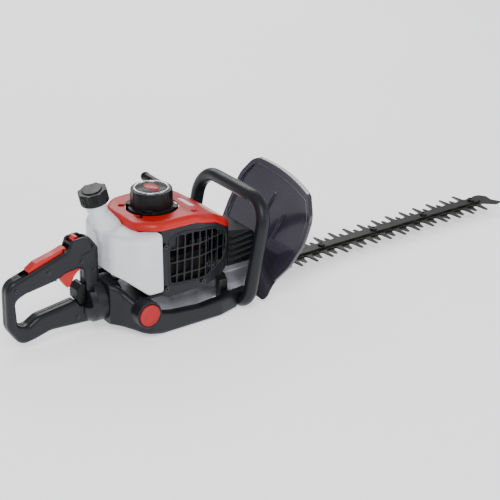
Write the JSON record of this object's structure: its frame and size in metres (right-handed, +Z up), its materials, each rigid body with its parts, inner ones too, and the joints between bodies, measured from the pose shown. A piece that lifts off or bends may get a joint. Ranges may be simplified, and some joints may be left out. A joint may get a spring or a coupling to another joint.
{
  "type": "petrol hedge trimmer",
  "caption": "Petrol hedge trimmer: two-stroke engine in a rubber-damped frame, twisting rear handle, loop front handle, smoked guard and double-sided reciprocating blades.",
  "frame": {"origin": "on the ground, under the middle of the length and width", "axes": "+X forward along the blade, +Y to the operator's left, +Z up"},
  "size_m": [1.0796, 0.2502, 0.2542],
  "materials": {
    "red_plastic": "satin moulded",
    "graphite_plastic": "satin moulded, fine texture",
    "black_plastic": "satin moulded",
    "tank_plastic": "translucent milky white",
    "smoke_plastic": "clear smoked, glossy",
    "white_plastic": "glossy",
    "foam": "open-cell foam",
    "rubber": "matt",
    "blade_steel": "dark ground steel",
    "steel": "machined",
    "black_steel": "blackened",
    "cast_aluminium": "as cast",
    "exhaust_steel": "heat dulled",
    "ceramic": "glazed"
  },
  "bodies": {
    "root": {"air_filter_base": "black_plastic", "air_filter_cover": "black_plastic", "air_filter_foam": "foam", "blade_bolts": "black_steel", "blade_guard": "smoke_plastic", "blade_nuts": "steel", "carburettor": "cast_aluminium", "clutch_housing": "cast_aluminium", "cover_screws": "black_steel", "crankcase": "cast_aluminium", "cylinder": "cast_aluminium", "cylinder_cover": "black_plastic", "damper_bolts": "steel", "damper_caps": "red_plastic", "engine_base": "black_plastic", "engine_cover": "red_plastic", "fan_housing": "black_plastic", "filter_knob": "black_plastic", "front_bridge": "black_steel", "front_handle": "graphite_plastic", "fuel_tank": "tank_plastic", "gear_bearings": "steel", "gear_case_lower": "cast_aluminium", "gear_case_screws": "steel", "gear_case_upper": "cast_aluminium", "guide_bar": "blade_steel", "ignition_coil": "black_steel", "intake_block": "black_plastic", "main_frame": "graphite_plastic", "muffler": "exhaust_steel", "muffler_guard": "graphite_plastic", "piston": "cast_aluminium", "spark_plug": "ceramic", "spark_plug_boot": "rubber", "starter_badge": "red_plastic", "starter_housing": "black_plastic", "vibration_dampers": "rubber"},
    "rear_handle": {"handle_shell_near": "graphite_plastic", "handle_shell_far": "graphite_plastic", "handle_screws": "black_steel", "swivel_retainer": "graphite_plastic", "lever_pins": "steel"},
    "throttle_trigger": {"throttle_trigger": "red_plastic"},
    "lockout_lever": {"lockout_lever": "red_plastic"},
    "stop_switch": {"stop_switch": "red_plastic"},
    "swivel_lock": {"swivel_lock": "black_plastic"},
    "engine_rotor": {"crankshaft": "steel", "flywheel": "cast_aluminium", "clutch_shoes": "steel"},
    "clutch_drum": {"clutch_drum": "steel"},
    "crank_gear": {"crank_gear": "steel"},
    "upper_blade": {"upper_blade": "blade_steel"},
    "lower_blade": {"lower_blade": "blade_steel"},
    "starter_reel": {"starter_reel": "black_plastic"},
    "starter_grip": {"starter_grip": "black_plastic", "starter_rope": "foam"},
    "fuel_cap_seal": {"fuel_cap_seal": "rubber"},
    "fuel_cap": {"fuel_cap": "black_plastic"},
    "choke_lever": {"choke_lever": "red_plastic"},
    "primer_bulb": {"primer_bulb": "rubber"}
  },
  "joints": [
    {"name": "rear_handle_swivel", "type": "hinge", "parent": "root", "child": "rear_handle", "pos_m": [-0.364, 0, 0.052], "axis": [1, 0, 0], "range_deg": [-90, 90]},
    {"name": "throttle_trigger_pull", "type": "hinge", "parent": "rear_handle", "child": "throttle_trigger", "pos_m": [-0.403, 0, 0.125], "axis": [0, 1, 0], "range_deg": [0, 12], "stiffness_Nm_per_rad": 0.6, "springref_deg": -11.46},
    {"name": "lockout_lever_press", "type": "hinge", "parent": "rear_handle", "child": "lockout_lever", "pos_m": [-0.429, 0, 0.158], "axis": [0, -1, 0], "range_deg": [0, 4], "stiffness_Nm_per_rad": 0.8, "springref_deg": -8.59},
    {"name": "stop_switch_slide", "type": "slide", "parent": "rear_handle", "child": "stop_switch", "axis": [1, 0, 0], "range_m": [0, 0.005]},
    {"name": "swivel_lock_press", "type": "hinge", "parent": "rear_handle", "child": "swivel_lock", "pos_m": [-0.388, 0, 0.072], "axis": [0, 1, 0], "range_deg": [0, 5], "stiffness_Nm_per_rad": 1, "springref_deg": -8.59},
    {"name": "engine_spin", "type": "hinge", "parent": "root", "child": "engine_rotor", "pos_m": [-0.254, 0, 0.1], "axis": [0, 0, 1], "continuous": true},
    {"name": "clutch_drum_spin", "type": "hinge", "parent": "root", "child": "clutch_drum", "pos_m": [-0.254, 0, 0.05], "axis": [0, 0, 1], "range_deg": [-360, 360]},
    {"name": "crank_gear_turn", "type": "hinge", "parent": "root", "child": "crank_gear", "pos_m": [-0.2165, 0, 0.028], "axis": [0, 0, 1], "range_deg": [-90.2, 90.2]},
    {"name": "upper_blade_stroke", "type": "slide", "parent": "root", "child": "upper_blade", "axis": [1, 0, 0], "range_m": [-0.00878, 0.00878]},
    {"name": "lower_blade_stroke", "type": "slide", "parent": "root", "child": "lower_blade", "axis": [1, 0, 0], "range_m": [-0.00878, 0.00878]},
    {"name": "starter_grip_pull", "type": "slide", "parent": "root", "child": "starter_grip", "axis": [0.9063, 0, 0.4226], "range_m": [0, 0.6], "stiffness_N_per_m": 12, "springref_m": -0.15},
    {"name": "starter_reel_spin", "type": "hinge", "parent": "root", "child": "starter_reel", "pos_m": [-0.254, 0, 0.175], "axis": [0, 0, -1], "range_deg": [-1, 1080]},
    {"name": "fuel_cap_rise", "type": "slide", "parent": "root", "child": "fuel_cap_seal", "axis": [-0.223, 0, 0.9748], "range_m": [0, 0.0061]},
    {"name": "fuel_cap_turn", "type": "hinge", "parent": "fuel_cap_seal", "child": "fuel_cap", "pos_m": [-0.3635, 0, 0.231], "axis": [-0.223, 0, 0.9748], "range_deg": [0, 720]},
    {"name": "choke_lever_turn", "type": "hinge", "parent": "root", "child": "choke_lever", "pos_m": [-0.239, 0.075, 0.101], "axis": [0, -1, 0], "range_deg": [0, 60]},
    {"name": "primer_bulb_press", "type": "slide", "parent": "root", "child": "primer_bulb", "axis": [0, -1, 0], "range_m": [0, 0.004], "stiffness_N_per_m": 600, "springref_m": -0.001}
  ],
  "couplings": [
    {"joint": "crank_gear_turn", "follows": "clutch_drum_spin", "ratio": -0.25},
    {"joint": "upper_blade_stroke", "follows": "clutch_drum_spin", "m_per_rad": 0.0013926},
    {"joint": "lower_blade_stroke", "follows": "clutch_drum_spin", "m_per_rad": -0.0013926},
    {"joint": "starter_reel_spin", "follows": "starter_grip_pull", "rad_per_m": 31.25},
    {"joint": "fuel_cap_rise", "follows": "fuel_cap_turn", "m_per_rad": 0.00047746}
  ]
}
